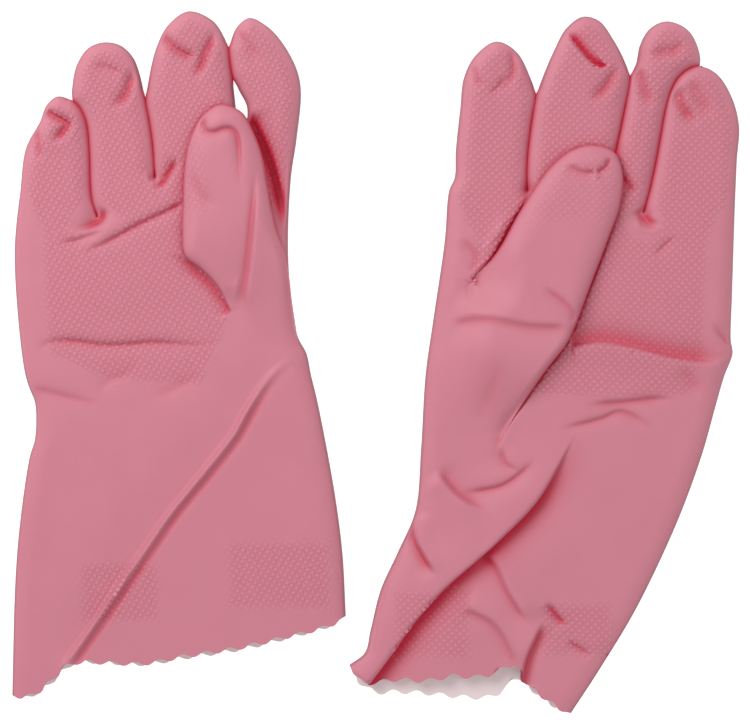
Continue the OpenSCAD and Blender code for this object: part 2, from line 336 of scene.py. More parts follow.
leftCreases = [
    # palm
    {"kind": "step", "wide": 1.5, "high": 1.3, "highReach": 10, "low": 1.9, "lowReach": 8, "shadeReach": 6.5,
     "red": 1.0, "ends": (0.02, 0.25),
     "path": [(2, 35), (15.5, 37), (30, 34.5), (43.5, 31), (52.5, 29.2), (64, 28.5), (74, 31)], "flip": True},
    {"kind": "step", "wide": 1.2, "high": 0.4, "highReach": 4, "low": 2.4, "lowReach": 4, "shadeReach": 2.6,
     "ends": (0.25, 0.15),
     "path": [(24, 105), (21.5, 92), (16, 77), (9, 59), (3.4, 44), (-0.8, 36), (-9.3, 24.8), (-15.4, 16.2),
              (-21.4, 7.2), (-26.3, -0.7), (-29.5, -8), (-31, -16)]},
    {"kind": "step", "wide": 1.2, "high": 0.5, "highReach": 5, "low": 2.2, "lowReach": 4, "shadeReach": 2.4,
     "ends": (0.02, 0.4), "path": [(-42.5, 64.5), (-32.5, 76), (-23, 92), (-15.5, 105)]},
    {"kind": "groove", "wide": 2.2, "deep": 1.7, "ends": (0.3, 0.3),
     "path": [(7, 9), (26.5, 10.5), (38, 11.8), (49, 12)]},
    {"kind": "groove", "wide": 2.0, "deep": 1.5, "ends": (0.3, 0.35),
     "path": [(-5, -2), (6, 0.5), (15.5, 3), (23.5, 6), (31, 3.5), (41, -4)]},
    {"kind": "groove", "wide": 4.5, "deep": 1.0, "ends": (0.4, 0.4),
     "path": [(50, 28), (55, 20), (61, 13)]},
    {"kind": "groove", "wide": 2.0, "deep": 1.4, "ends": (0.2, 0.5),
     "path": [(74, 34), (68, 41), (63, 46)]},
    {"kind": "groove", "wide": 2.6, "deep": 2.6, "ends": (0.25, 0.4),
     "path": [(33.5, 97), (35, 92.5), (38, 90), (41, 91.5)]},
    {"kind": "ridge", "wide": 2.4, "deep": 1.2, "ends": (0.3, 0.3),
     "path": [(31, 95), (32.5, 88), (38, 86), (43, 89)]},
    {"kind": "groove", "wide": 3.0, "deep": 1.8, "ends": (0.3, 0.4),
     "path": [(23, 112), (27, 107), (31, 102)]},
    {"kind": "groove", "wide": 1.8, "deep": 1.0, "ends": (0.4, 0.4),
     "path": [(38, 74), (43, 79.5), (49, 85)]},
    {"kind": "groove", "wide": 1.5, "deep": 1.0, "ends": (0.2, 0.4),
     "path": [(-42.5, 65), (-43, 61), (-42, 55)]},
    {"kind": "groove", "wide": 2.4, "deep": 1.2, "ends": (0.3, 0.3),
     "path": [(-47, 84), (-40, 74), (-44, 66)]},
    {"kind": "ridge", "wide": 2.0, "deep": 1.0, "ends": (0.35, 0.35),
     "path": [(-25, 95), (-32, 84), (-39, 75)]},
    # wrist and cuff
    {"kind": "step", "wide": 1.8, "high": 2.2, "highReach": 10, "low": 1.5, "lowReach": 7,
     "ends": (0.2, 0.45),
     "path": [(-58, -19), (-49, -30), (-42.5, -34.5), (-32, -39)], "flip": True},
    {"kind": "groove", "wide": 2.2, "deep": 1.8, "ends": (0.3, 0.3),
     "path": [(-47, -30), (-38, -29), (-28, -26.5), (-19, -20), (-13, -14)]},
    {"kind": "groove", "wide": 2.0, "deep": 1.5, "ends": (0.3, 0.5),
     "path": [(-29.5, -9), (-27, -17), (-19, -20.5)]},
    {"kind": "step", "wide": 1.0, "high": 1.3, "highReach": 6, "low": 2.2, "lowReach": 5,
     "ends": (0.15, 0.25),
     "path": [(-67.5, -38), (-67, -50), (-63, -58.5), (-57.5, -67)]},
    {"kind": "step", "wide": 1.0, "high": 3.4, "highReach": 20, "low": 3.2, "lowReach": 12, "lean": 1.8,
     "shadeReach": 8.5, "red": 1.05, "ends": (0.02, 0.25),
     "path": [(-90, -116), (-79, -101.5), (-69.5, -88), (-55, -71.5), (-33.5, -52.5), (-16, -35),
              (-5, -19), (5, -2)]},
    {"kind": "step", "wide": 1.8, "high": 2.0, "highReach": 9, "low": 1.2, "lowReach": 7,
     "ends": (0.25, 0.2),
     "path": [(-16, -90), (-19, -85), (-26, -74), (-32.5, -61), (-40, -55)], "flip": True},
    {"kind": "step", "wide": 2.0, "high": 1.3, "highReach": 9, "low": 1.0, "lowReach": 6,
     "ends": (0.3, 0.1),
     "path": [(-21.5, -110), (-25.5, -98), (-33, -87.5), (-46, -81)], "flip": True},
    {"kind": "step", "wide": 1.5, "high": 2.0, "highReach": 7, "low": 2.4, "lowReach": 5,
     "ends": (0.25, 0.02),
     "path": [(-10, -87), (-13.5, -95), (-17.5, -104), (-19.5, -116)], "flip": True},
    {"kind": "groove", "wide": 1.7, "deep": 2.2, "ends": (0.35, 0.35),
     "path": [(-9, -78), (-4, -85), (1, -90)]},
    {"kind": "groove", "wide": 1.6, "deep": 1.4, "ends": (0.35, 0.35),
     "path": [(0, -95), (6.5, -99.5), (12, -103)]},
    # fingertips
    {"kind": "groove", "crisp": 0.2, "wide": 1.6, "deep": 1.7, "ends": (0.3, 0.4),
     "path": [(-25, 169), (-23.3, 162), (-23.5, 156.5), (-26.5, 151), (-27, 146)]},
    {"kind": "groove", "wide": 1.6, "deep": 1.1, "ends": (0.3, 0.3),
     "path": [(-41.5, 161), (-39.8, 154.5), (-37, 149)]},
    {"kind": "groove", "wide": 1.8, "deep": 0.9, "ends": (0.3, 0.3),
     "path": [(-35, 147), (-30.5, 150.5), (-27.5, 156)]},
    {"kind": "step", "wide": 1.2, "high": 1.4, "highReach": 8, "low": 3.0, "lowReach": 3.2, "lean": 0.8,
     "ends": (0.15, 0.2),
     "path": [(18.5, 161.5), (17, 158.6), (13.5, 158.8), (10, 161.3), (7, 164.5), (3, 169.5),
              (0, 175)], "shadeReach": 3.5},
    {"kind": "groove", "crisp": 0.2, "wide": 1.8, "deep": 2.1, "ends": (0.35, 0.35),
     "path": [(24.8, 161), (21.5, 156), (17.5, 150), (13, 145.5), (9, 143.5)]},
    {"kind": "groove", "crisp": 0.2, "wide": 1.8, "deep": 1.7, "ends": (0.3, 0.3),
     "path": [(53, 171), (48.5, 166.3), (44, 165.5), (36, 164.3)]},
    {"kind": "groove", "crisp": 0.2, "wide": 1.8, "deep": 2.0, "ends": (0.25, 0.4),
     "path": [(31.5, 160), (34, 152), (36, 146), (39.5, 140)]},
    {"kind": "groove", "crisp": 0.2, "wide": 1.9, "deep": 2.4, "ends": (0.25, 0.4),
     "path": [(50.8, 151), (50.8, 144), (54, 138.5), (59, 132.5)]},
    {"kind": "groove", "crisp": 0.2, "wide": 2.6, "deep": 1.6, "ends": (0.3, 0.4),
     "path": [(54.5, 154.5), (57, 149.5), (60, 144), (65.5, 136)]},
]
leftThumbCreases = [
    {"kind": "groove", "wide": 1.8, "deep": 1.4, "ends": (0.3, 0.2),
     "path": [(-1, 115.5), (6, 112), (12.5, 112)]},
    {"kind": "groove", "wide": 1.7, "deep": 1.7, "ends": (0.2, 0.3),
     "path": [(12, 111.5), (16, 114), (19, 119)]},
    {"kind": "step", "wide": 2.2, "high": 0.9, "highReach": 9, "low": 1.1, "lowReach": 7,
     "ends": (0.2, 0.15),
     "path": [(4, 44), (-4, 44.3), (-17, 44.8), (-36.5, 48), (-56, 46)], "flip": True},
    {"kind": "groove", "wide": 1.7, "deep": 1.3, "ends": (0.35, 0.1),
     "path": [(-12, 62), (0, 52.5), (4.5, 46)]},
    {"kind": "groove", "wide": 5.0, "deep": 0.8, "ends": (0.4, 0.4),
     "path": [(-26, 32), (-34, 14), (-40, -2)]},
]
rightGlove["creases"], rightGlove["thumbCreases"] = rightCreases, rightThumbCreases
leftGlove["creases"], leftGlove["thumbCreases"] = leftCreases, leftThumbCreases


def strokeReach(stroke):
    if stroke["kind"] == "step":
        return 2.6 * max(stroke["highReach"], stroke["lowReach"])
    if stroke["kind"] == "pleat":
        return 2.6 * stroke["reach"]
    return 6.0 * stroke["wide"]


def pressCreases(xy, z, fold, strokes):
    # presses each stroke into the heights, shifts overhanging crests, and marks the folds where shade is
    # painted
    xy, z, fold = xy.copy(), z.copy(), fold.copy()
    flat = xy.reshape(-1, 2).copy()
    heights, folds, moved = z.reshape(-1), fold.reshape(-1), xy.reshape(-1, 2)
    for stroke in strokes:
        line = throughPoints(stroke["path"], 8)
        reach = strokeReach(stroke)
        inside = np.all((flat > line.min(0) - reach) & (flat < line.max(0) + reach), axis=1)
        here = np.nonzero(inside)[0]
        if not len(here):
            continue
        gap, side, along = nearest(flat[here], line)
        total = lengthsOf(line)[-1]
        fadeIn, fadeOut = (max(e, 0.01) * total for e in stroke["ends"])
        strength = ease(along / fadeIn) * ease((total - along) / fadeOut)
        wide = stroke["wide"]
        s = gap * side * (-1 if stroke.get("flip") else 1)
        # how strongly this stroke's fold takes painted shade
        red = stroke.get("red", 1.0)
        if stroke["kind"] == "step":
            up = stroke["high"] * np.exp(-(np.maximum(s, 0) / stroke["highReach"]) ** 2)
            down = -stroke["low"] * np.exp(-(np.minimum(s, 0) / stroke["lowReach"]) ** 2)
            lift = 0.5 + 0.5 * np.tanh(s / (0.6 * wide))
            heights[here] += strength * (lift * up + (1 - lift) * down)
            # painted shade: a crimson band on the step's low side, reaching this far
            shadeReach = stroke.get("shadeReach", 2.2)
            shadeTint = np.exp(-(np.minimum(s + 0.4 * wide, 0) / shadeReach) ** 2) * (1 - lift)
            folds[here] += strength * red * min(stroke["low"] / 2.5, 1) * shadeTint
            if "lean" in stroke:
                nudge = 0.01
                step = np.stack([nearest(flat[here] + [nudge, 0], line)[0] - gap,
                                 nearest(flat[here] + [0, nudge], line)[0] - gap], -1) / nudge
                step *= (side * (-1 if stroke.get("flip") else 1))[:, None]
                crest = np.exp(-((s - 0.4 * wide) / (1.2 * wide)) ** 2) * strength * stroke["lean"]
                moved[here] -= step * crest[:, None]
        elif stroke["kind"] == "pleat":
            # a narrow raised pleat: a long slope down to it on one side, a tight dip on the other
            crest = stroke["high"] * np.exp(-(s / wide) ** 2)
            slope = stroke["dip"] * np.exp(-((s - 1.7 * wide) / stroke["reach"]) ** 2) * (s > 1.7 * wide)
            slope += stroke["dip"] * ease(s / (1.7 * wide)) * (s <= 1.7 * wide)
            tight = stroke["low"] * np.exp(-((s + 1.9 * wide) / (1.1 * wide)) ** 2)
            heights[here] += strength * (crest - slope - tight)
            # painted shade in the tight dip beside the pleat
            folds[here] += strength * red * np.exp(-((s + 2.1 * wide) / (1.2 * wide)) ** 2)
        else:
            sign = -1 if stroke["kind"] == "groove" else 1
            deep = stroke["deep"]
            core, soft = np.exp(-(gap / (0.55 * wide)) ** 2), np.exp(-(gap / (1.5 * wide)) ** 2)
            crisp = stroke.get("crisp", 0.5)
            heights[here] += sign * strength * deep * (crisp * core + (1 - crisp) * soft)
            if sign < 0:
                shift = stroke.get("lift", 0.3) * deep * np.tanh(s / (0.5 * wide))
                heights[here] += strength * shift * np.exp(-(gap / (3.4 * wide)) ** 2)
                # painted shade along the groove
                folds[here] += strength * red * min(deep / 2.6, 1) * (crisp * core + 0.5 * (1 - crisp) * soft)
    return moved.reshape(xy.shape), heights.reshape(z.shape), folds.reshape(fold.shape)


def columnPlaces(count):
    s = np.linspace(0, 1, count + 1)
    return s - weave["crowd"] * np.sin(2 * np.pi * s) / (2 * np.pi)


def scalloped(line, phase):
    # a mouth line with its waves: even points, pushed along the line's normal
    run = lengthsOf(line)
    way = np.gradient(line, axis=0)
    way /= np.maximum(np.hypot(*way.T), 1e-9)[:, None]
    wave = scallop["deep"] * np.sin(2 * np.pi * run / scallop["pitch"] + phase)
    ends = ease(run / 8) * ease((run[-1] - run) / 8)
    return line + np.stack([way[:, 1], -way[:, 0]], -1) * (wave * ends)[:, None]


def pressTogether(curves):
    # where two fingers touch, their sides are squeezed a little over each other
    for j in range(1, len(curves)):
        pair = curves[j - 1][1], curves[j][0]
        pushed = []
        for line, other, sign in ((pair[0], pair[1], 1), (pair[1], pair[0], -1)):
            way = np.gradient(line, axis=0)
            way /= np.maximum(np.hypot(*way.T), 1e-9)[:, None]
            near = 1 - ease((nearest(line, other)[0] - 0.3) / 1.5)
            amount = lay["squeeze"] * sign * near * ease(lengthsOf(line) / 5)
            pushed.append(line + np.stack([way[:, 1], -way[:, 0]], -1) * amount[:, None])
        curves[j - 1] = (curves[j - 1][0], pushed[0])
        curves[j] = (pushed[1], curves[j][1])


def railsOf(glove):
    # for each finger strip, its left and right rail, row by row from the mouth to the tip
    fingers = glove["fingers"]
    curves = []
    for f in fingers:
        line = throughPoints(f["left"] + [f["tip"]] + f["right"])
        cut = len(f["left"]) * spanPoints
        curves.append((line[:cut + 1], line[cut:][::-1]))
    pressTogether(curves)
    sides = []
    for line, wrist, root in ((curves[0][0], glove["wristTurn"][0], glove["rootHeight"][0]),
                              (curves[-1][1], glove["wristTurn"][1], glove["rootHeight"][1])):
        run = lengthsOf(line)
        climb = np.maximum.accumulate(line[:, 1])
        sides.append((line, np.interp(wrist, climb, run), np.interp(root, climb, run), run[-1]))
    step = weave["rowStep"]
    cuffRows = evenCount(sum(s[1] for s in sides) / 2 / step)
    palmRows = evenCount(sum(s[2] - s[1] for s in sides) / 2 / step)
    outer = [alongLine(line, np.concatenate([np.linspace(0, wrist, cuffRows + 1),
                                             np.linspace(wrist, root, palmRows + 1)[1:],
                                             np.linspace(root, end, weave["fingerRows"] + 1)[1:]]))
             for line, wrist, root, end in sides]
    rootRow = cuffRows + palmRows
    lastRow = rootRow + weave["fingerRows"]
    rails = [[outer[0], None], *[[None, None] for _ in fingers[2:]], [None, outer[1]]]
    splits = []
    up = ease(np.arange(rootRow + 1) / rootRow)[:, None]
    for j in range(1, len(fingers)):
        low, high = glove["splitMouth"][j - 1], glove["splitRoot"][j - 1]
        place = low + (high - low) * up
        shared = outer[0][:rootRow + 1] * (1 - place) + outer[1][:rootRow + 1] * place
        cleft = curves[j][0][0]
        rows = evenCount(np.hypot(*(cleft - shared[-1])) / step)
        climb = shared[-1] + (cleft - shared[-1]) * np.linspace(0, 1, rows + 1)[1:, None]
        splits.append(rootRow + rows)
        for strip, edge, line in ((j - 1, 1, curves[j - 1][1]), (j, 0, curves[j][0])):
            rest = alongLine(line, np.linspace(0, lengthsOf(line)[-1], lastRow - rootRow - rows + 1)[1:])
            rails[strip][edge] = np.vstack([shared, climb, rest])
    return rails, [None, *splits, None], curves, lastRow


def gloveGrid(glove):
    rails, splits, curves, lastRow = railsOf(glove)
    across = columnPlaces(weave["columns"])
    fractions = [0, *glove["splitMouth"], 1]
    mouths = []
    for key, phase in (("mouth", 0.0), ("mouthBack", 2.0)):
        plain = throughPoints(glove[key])
        plain = alongLine(plain, np.linspace(0, lengthsOf(plain)[-1], scallop["points"]))
        mouths.append((plain, scalloped(plain, phase) - plain))
    rows = np.arange(lastRow + 1) * weave["rowStep"]
    slow = (1 - ease(rows / scallop["bend"]))[:, None, None]
    quick = (np.exp(-rows / scallop["fade"]) * (rows < scallop["end"]))[:, None, None]
    strips = []
    for i, (left, right) in enumerate(rails):
        xy = left[:, None] + (right - left)[:, None] * across[None, :, None]
        place = fractions[i] + (fractions[i + 1] - fractions[i]) * across
        layers = []
        for plain, wave in mouths:
            run = lengthsOf(plain)
            bend = alongLine(plain, place * run[-1]) - xy[0]
            push = np.stack([np.interp(place * run[-1], run, wave[:, a]) for a in (0, 1)], -1)
            layers.append(xy + bend[None] * slow + push[None] * quick)
        gap = np.full(xy.shape[:2], 1e9).reshape(-1)
        for line in curves[i]:
            gap = np.minimum(gap, nearest(layers[0].reshape(-1, 2), line)[0])
        gap = gap.reshape(xy.shape[:2])
        gap[:, 0] = np.where((splits[i] is None) | (np.arange(lastRow + 1) >= (splits[i] or 0)), 0, gap[:, 0])
        gap[:, -1] = np.where((splits[i + 1] is None) | (np.arange(lastRow + 1) >= (splits[i + 1] or 0)), 0,
                              gap[:, -1])
        gap[-1] = 0
        strips.append({"top": layers[0], "back": layers[1], "gap": gap, "split": (splits[i], splits[i + 1])})
    return strips, curves, lastRow


def restHeight(xy):
    low = np.interp(xy[..., 1], [p[0] for p in standing], [p[1] for p in standing])
    return low + lay["swell"] * (np.sin(xy[..., 0] / 15 + 1) * np.sin(xy[..., 1] / 21 + 2)
                                 + 0.6 * np.sin(xy[..., 0] / 8.3 + xy[..., 1] / 11))


def edgeHeights(glove, i, lastRow, split):
    # what each finger's side folds add to the height that all share up to the clefts
    own = glove["fingers"][i]["edge"]
    start = min(s for s in split if s is not None) if any(s is not None for s in split) else 0
    rows = np.arange(lastRow + 1)
    return own * ease((rows - start) / 30)


def numberStrips(strips):
    # vertex numbers: neighbouring strips share their rail up to the cleft,
    # and the two layers share the side folds and the clefts
    count = 0
    tops, backs = [], []
    for i, strip in enumerate(strips):
        rows, cols = strip["gap"].shape
        ids = np.arange(count, count + rows * cols).reshape(rows, cols)
        count += rows * cols
        ids[-1] = ids[-1, 0]
        if i:
            shared = strips[i - 1]["split"][1]
            ids[:shared + 1, 0] = tops[i - 1][:shared + 1, -1]
        tops.append(ids)
    for i, strip in enumerate(strips):
        rows, cols = strip["gap"].shape
        ids = np.arange(count, count + rows * cols).reshape(rows, cols)
        count += rows * cols
        left, right = strip["split"]
        if i:
            ids[:left + 1, 0] = backs[i - 1][:left + 1, -1]
        ids[(left or 0):, 0] = tops[i][(left or 0):, 0]
        ids[(right or 0):, -1] = tops[i][(right or 0):, -1]
        ids[-1] = tops[i][-1, 0]
        backs.append(ids)
    return tops, backs, count


def gridFaces(ids, step, flip):
    # quads of a grid taken every step rows and columns; a last row drawn to a point gives triangles
    a = ids[:-step:step, :-step:step].reshape(-1)
    b = ids[:-step:step, step::step].reshape(-1)
    c = ids[step::step, step::step].reshape(-1)
    d = ids[step::step, :-step:step].reshape(-1)
    quads = np.stack([a, b, c, d], -1)
    point = c == d
    found = [quads[~point], quads[point][:, :3]]
    return [f[:, ::-1] if flip else f for f in found if len(f)]


def backFaces(ids, leftOpen, rightOpen):
    # the back layer is half as fine, and meets the fine side folds point for point
    faces = []
    for k in range(0, ids.shape[0] - 1, 2):
        row, mid, nxt = ids[k, ::2], ids[k + 1], ids[k + 2, ::2]
        for c in range(len(row) - 1):
            face = [row[c], row[c + 1]]
            if c == len(row) - 2 and rightOpen(k):
                face.append(mid[-1])
            face.append(nxt[c + 1])
            if nxt[c] != nxt[c + 1]:
                face.append(nxt[c])
            if c == 0 and leftOpen(k):
                face.append(mid[0])
            faces.append(face[::-1])
    bySize = {}
    for f in faces:
        bySize.setdefault(len(f), []).append(f)
    return [np.array(f) for f in bySize.values()]


def rimFaces(outerTop, innerTop, outerBack, innerBack, atStart):
    # closes a layer's cut end: fine outside to coarse inside on the palm side, coarse on the back
    five = np.stack([innerTop[:-2:2], innerTop[2::2], outerTop[2::2], outerTop[1:-1:2], outerTop[:-2:2]], -1)
    four = np.stack([outerBack[:-2:2], outerBack[2::2], innerBack[2::2], innerBack[:-2:2]], -1)
    return [f if atStart else f[:, ::-1] for f in (five, four)]


def vertexNormals(points, faces):
    normals = np.zeros_like(points)
    for f in faces:
        n = np.cross(points[f[:, 2]] - points[f[:, 0]], points[f[:, -1]] - points[f[:, 1]])
        for column in range(f.shape[1]):
            np.add.at(normals, f[:, column], n)
    return normals / np.maximum(np.linalg.norm(normals, axis=1), 1e-12)[:, None]


def buildMesh(name, points, normals, faces, layers=None):
    # keeps only the points in use; sets each point's normal, so cut ends don't show
    used = np.unique(np.concatenate([f.reshape(-1) for f in faces]))
    lookup = np.zeros(len(points), int)
    lookup[used] = np.arange(len(used))
    mesh = bpy.data.meshes.new(name)
    mesh.vertices.add(len(used))
    mesh.vertices.foreach_set("co", (points[used] * mm).astype(np.float32).reshape(-1))
    corners = np.concatenate([lookup[f].reshape(-1) for f in faces])
    sizes = np.concatenate([np.full(len(f), f.shape[1]) for f in faces])
    mesh.loops.add(len(corners))
    mesh.loops.foreach_set("vertex_index", corners.astype(np.int32))
    mesh.polygons.add(len(sizes))
    mesh.polygons.foreach_set("loop_start", (np.cumsum(sizes) - sizes).astype(np.int32))
    mesh.polygons.foreach_set("loop_total", sizes.astype(np.int32))
    mesh.update(calc_edges=True)
    mesh.validate()
    mesh.polygons.foreach_set("use_smooth", np.ones(len(mesh.polygons), bool))
    for key, values in (layers or {}).items():
        mesh.attributes.new(key, "FLOAT", "POINT").data.foreach_set("value", values[used].astype(np.float32))
    mesh.normals_split_custom_set_from_vertices(normals[used])
    made = bpy.data.objects.new(name, mesh)
    bpy.context.scene.collection.objects.link(made)
    return made


def bendBetween(piece, side, part, at, way, near, far):
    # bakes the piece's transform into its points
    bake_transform(piece)


def joinHinge(name):
    # a joint's place, and the way from it towards the part that moves, in millimetres
    joint = hinges[name]
    place = np.array(joint["pos_m"], float) / mm
    return place, np.array([-joint["axis"][1], joint["axis"][0], 0.0])


def splitRow(layers, start, way, fromTip):
    # the even row nearest the joint that lies wholly on the hand's side of the bend
    ahead = np.max([((layer - start[:2]) @ way[:2]).max(1) for layer in layers], axis=0)
    rows = [k for k in range(2, len(ahead) - 2, 2) if ahead[k] <= -0.05]
    return min(rows) if fromTip else max(rows)


class Shell:
    # one layer of one glove's numbered points, its faces by part
    def __init__(self):
        self.points, self.normals, self.values, self.faces = [], [], [], []
        self.count = 0

    def add(self, points, normals, values):
        first = self.count
        self.points.append(points)
        self.normals.append(normals)
        self.values.append(values)
        self.count += len(points)
        return first

    def make(self, name, faces):
        points = np.concatenate(self.points)
        points[:, 2] = np.maximum(points[:, 2], 0)
        normals = np.concatenate(self.normals)
        marks = np.concatenate(self.values)
        # fold and rim weigh the painted shade; grip marks the diamond grip; palmSide falls to 0 at the side
        # folds
        named = {key: marks[:, k] for k, key in enumerate(("fold", "grip", "rim", "palmSide"))}
        return buildMesh(name, points, normals, faces, named)


def layerFaces(top, back, first, leftOpen, rightOpen, coarse, ends):
    # one strip's outer and inner faces between two rows, with the cut ends closed
    outer, inner = first
    faces = []
    if coarse:
        faces += gridFaces(top + outer, 2, False) + gridFaces(back + outer, 2, True)
    else:
        faces += gridFaces(top + outer, 1, False) + backFaces(back + outer, leftOpen, rightOpen)
    faces += gridFaces(top + inner, 2, True) + gridFaces(back + inner, 2, False)
    for row, atStart in ends:
        rows = top[row] + outer, top[row] + inner, back[row] + outer, back[row] + inner
        rim = rimFaces(*rows, atStart)
        if coarse:
            rim = [rim[0][:, [0, 1, 2, 4]] if atStart else rim[0][:, [0, 2, 3, 4]], rim[1]]
        faces += rim
    return faces


def buildPalmSurface(glove):
    # the outer surface of a whole glove but its thumb: points, marks, numbering, side folds
    strips, curves, lastRow = gloveGrid(glove)
    tops, backs, count = numberStrips(strips)
    points = np.zeros((count, 3))
    marks = np.zeros((count, 4))
    sinks = np.zeros(count)
    for i, strip in enumerate(strips):
        gap = strip["gap"]
        rise = restHeight(strip["top"])
        edge = lay["edge"] * rise + edgeHeights(glove, i, lastRow, strip["split"])[:, None]
        under = edge * (1 - quarter(gap / lay["backRound"]))
        over = risen = edge + (rise - edge) * quarter(gap / lay["topRound"])
        movedXY, pressed, fold = pressCreases(strip["top"], over, np.zeros_like(over), glove["creases"])
        keep = ease(gap / 3)
        over = over + (pressed - over) * keep
        xy = strip["top"] + (movedXY - strip["top"]) * keep[..., None]
        over = np.maximum(over, under + lay["leastGap"] * quarter(gap / 6))
        apart = neighbourGap(curves, i, strip["top"])
        # painted shade: a dark line along the free side folds
        turned = np.exp(-(gap / lay["rim"]) ** 2) * ease((apart - 0.8) / 1.6)
        # painted shade: a dark crimson line where the finger touches its neighbour
        paintedCleftShade = np.exp(-(gap / 0.8) ** 2) * (1 - ease((apart - 0.8) / 1.6))
        grip = gripMask(glove, strip["top"], gap)
        mark = np.stack([np.maximum(fold * keep, paintedCleftShade), grip, turned, ease(gap / 1.2)], -1)
        spare = over - under - 2.2 * quarter(gap / 6)
        sink = np.clip(underDips((pressed - risen) * keep), 0, np.maximum(spare, 0))
        points[backs[i]] = np.concatenate([strip["back"], under[..., None]], -1)
        points[tops[i]] = np.concatenate([xy, over[..., None]], -1)
        marks[tops[i]] = mark
        # the back layer takes the same painted shade line
        marks[backs[i][1:-1, 1:-1], 2] = turned[1:-1, 1:-1]
        sinks[tops[i]] = sink
    fine = []
    for top, back in zip(tops, backs):
        fine += gridFaces(top, 1, False) + gridFaces(back, 1, True)
    return strips, tops, backs, points, vertexNormals(points, fine), marks, sinks, fine


def neighbourGap(curves, i, xy):
    # distance to the neighbouring fingers' sides
    found = np.full(xy.shape[:2], 1e9).reshape(-1)
    flat = xy.reshape(-1, 2)
    for j, side in ((i - 1, 1), (i + 1, 0)):
        if 0 <= j < len(curves):
            found = np.minimum(found, nearest(flat, curves[j][side])[0])
    return found.reshape(xy.shape[:2])


def underDips(shift):
    # how much lower the lowest neighbour is pressed, so that an inner layer clears the creases
    lowest = shift.copy()
    for across in (0, 1):
        wide = np.pad(lowest, [(3, 3) if a == across else (0, 0) for a in (0, 1)], mode="edge")
        spans = [np.take(wide, range(k, k + shift.shape[across]), axis=across) for k in range(7)]
        lowest = np.min(spans, axis=0)
    return shift - lowest


def gripMask(glove, xy, gap):
    # 1 where the palm side carries its grip
    x, y = xy[..., 0], xy[..., 1]
    grip = glove["grip"]
    finger = ease((y - grip["fingersFrom"] + 12) / 24)
    margin = grip["palmMargin"] + (grip["fingerMargin"] - grip["palmMargin"]) * finger
    border = np.interp(x, [p[0] for p in grip["lower"]], [p[1] for p in grip["lower"]])
    end = np.interp(y, [p[1] for p in grip["end"]], [p[0] for p in grip["end"]])
    soft = grip["soft"] + (1.5 - grip["soft"]) * finger
    mask = ease((gap - margin) / soft + 0.5) * ease((y - border) / 3 + 0.5) * ease((end - x) / 4 + 0.5)
    for low, high in grip["patches"]:
        inside = np.minimum(np.minimum(x - low[0], high[0] - x), np.minimum(y - low[1], high[1] - y))
        mask = np.maximum(mask, ease(inside / 6 + 0.5))
    return mask


